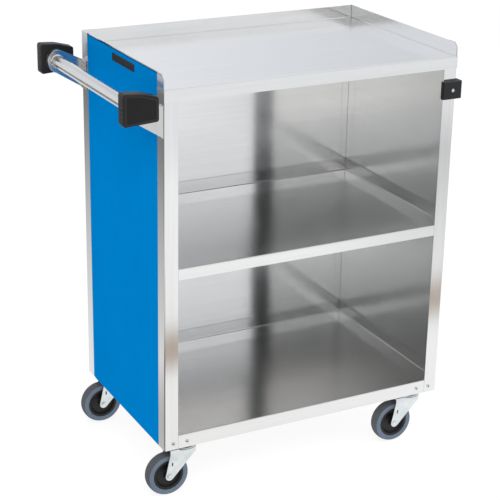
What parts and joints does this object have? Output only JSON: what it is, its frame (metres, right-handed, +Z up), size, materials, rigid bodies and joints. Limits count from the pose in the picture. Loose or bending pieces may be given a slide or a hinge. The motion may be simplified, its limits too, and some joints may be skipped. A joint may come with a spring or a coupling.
{
  "type": "utility cart",
  "caption": "Open-front shelf cart with flanged steel shelves, angle legs, coloured end and back sheets, a push handle with rubber bumpers and swivel casters.",
  "frame": {"origin": "on the floor under the centre of the bounding box", "axes": "+Z up; the long open front faces -Y; the push handle is at the -X end"},
  "size_m": [0.739, 0.451, 0.8724],
  "materials": {
    "stainless": "brushed",
    "blue_laminate": "satin",
    "black_plate": "glossy",
    "bumper_rubber": "moulded",
    "grey_tyre": "matte",
    "black_nylon": "moulded",
    "zinc_plate": "bright zinc"
  },
  "bodies": {
    "cart": {"top_shelf": "stainless", "top_shelf_fascia": "stainless", "top_shelf_back_rim": "stainless", "middle_shelf": "stainless", "bottom_shelf": "stainless", "left_end_panel": "stainless", "right_end_panel": "stainless", "back_panel": "stainless", "left_colour_panel": "blue_laminate", "right_colour_panel": "blue_laminate", "back_colour_panel": "blue_laminate", "nameplate": "black_plate", "handle_tube": "stainless", "front_left_leg": "stainless", "front_right_leg": "stainless", "rear_left_leg": "stainless", "rear_right_leg": "stainless", "front_handle_arm": "stainless", "front_handle_flange": "stainless", "front_handle_bumper": "bumper_rubber", "front_corner_bumper": "bumper_rubber", "front_corner_bumper_screw": "zinc_plate", "rear_handle_arm": "stainless", "rear_handle_flange": "stainless", "rear_handle_bumper": "bumper_rubber", "rear_corner_bumper": "bumper_rubber", "rear_corner_bumper_screw": "zinc_plate", "front_left_caster_bracket": "zinc_plate", "front_right_caster_bracket": "zinc_plate", "rear_left_caster_bracket": "zinc_plate", "rear_right_caster_bracket": "zinc_plate", "front_left_swivel_plate": "zinc_plate", "front_left_kingpin": "zinc_plate", "front_right_swivel_plate": "zinc_plate", "front_right_kingpin": "zinc_plate", "rear_left_swivel_plate": "zinc_plate", "rear_left_kingpin": "zinc_plate", "rear_right_swivel_plate": "zinc_plate", "rear_right_kingpin": "zinc_plate"},
    "front_left_caster": {"front_left_fork": "zinc_plate", "front_left_axle_bolt": "zinc_plate", "front_left_axle_nut": "zinc_plate"},
    "front_left_wheel": {"front_left_wheel_core": "black_nylon", "front_left_tyre": "grey_tyre"},
    "front_right_caster": {"front_right_fork": "zinc_plate", "front_right_axle_bolt": "zinc_plate", "front_right_axle_nut": "zinc_plate"},
    "front_right_wheel": {"front_right_wheel_core": "black_nylon", "front_right_tyre": "grey_tyre"},
    "rear_left_caster": {"rear_left_fork": "zinc_plate", "rear_left_axle_bolt": "zinc_plate", "rear_left_axle_nut": "zinc_plate"},
    "rear_left_wheel": {"rear_left_wheel_core": "black_nylon", "rear_left_tyre": "grey_tyre"},
    "rear_right_caster": {"rear_right_fork": "zinc_plate", "rear_right_axle_bolt": "zinc_plate", "rear_right_axle_nut": "zinc_plate"},
    "rear_right_wheel": {"rear_right_wheel_core": "black_nylon", "rear_right_tyre": "grey_tyre"}
  },
  "joints": [
    {"name": "front_left_swivel", "type": "hinge", "parent": "cart", "child": "front_left_caster", "pos_m": [-0.2255, -0.1745, 0.1], "axis": [0, 0, 1], "continuous": true},
    {"name": "front_left_roll", "type": "hinge", "parent": "front_left_caster", "child": "front_left_wheel", "pos_m": [-0.264, -0.1745, 0.04445], "axis": [0, 1, 0], "continuous": true},
    {"name": "front_right_swivel", "type": "hinge", "parent": "cart", "child": "front_right_caster", "pos_m": [0.3065, -0.1745, 0.1], "axis": [0, 0, 1], "continuous": true},
    {"name": "front_right_roll", "type": "hinge", "parent": "front_right_caster", "child": "front_right_wheel", "pos_m": [0.268, -0.1745, 0.04445], "axis": [0, 1, 0], "continuous": true},
    {"name": "rear_left_swivel", "type": "hinge", "parent": "cart", "child": "rear_left_caster", "pos_m": [-0.2255, 0.1745, 0.1], "axis": [0, 0, 1], "continuous": true},
    {"name": "rear_left_roll", "type": "hinge", "parent": "rear_left_caster", "child": "rear_left_wheel", "pos_m": [-0.264, 0.1745, 0.04445], "axis": [0, 1, 0], "continuous": true},
    {"name": "rear_right_swivel", "type": "hinge", "parent": "cart", "child": "rear_right_caster", "pos_m": [0.3065, 0.1745, 0.1], "axis": [0, 0, 1], "continuous": true},
    {"name": "rear_right_roll", "type": "hinge", "parent": "rear_right_caster", "child": "rear_right_wheel", "pos_m": [0.268, 0.1745, 0.04445], "axis": [0, 1, 0], "continuous": true}
  ]
}
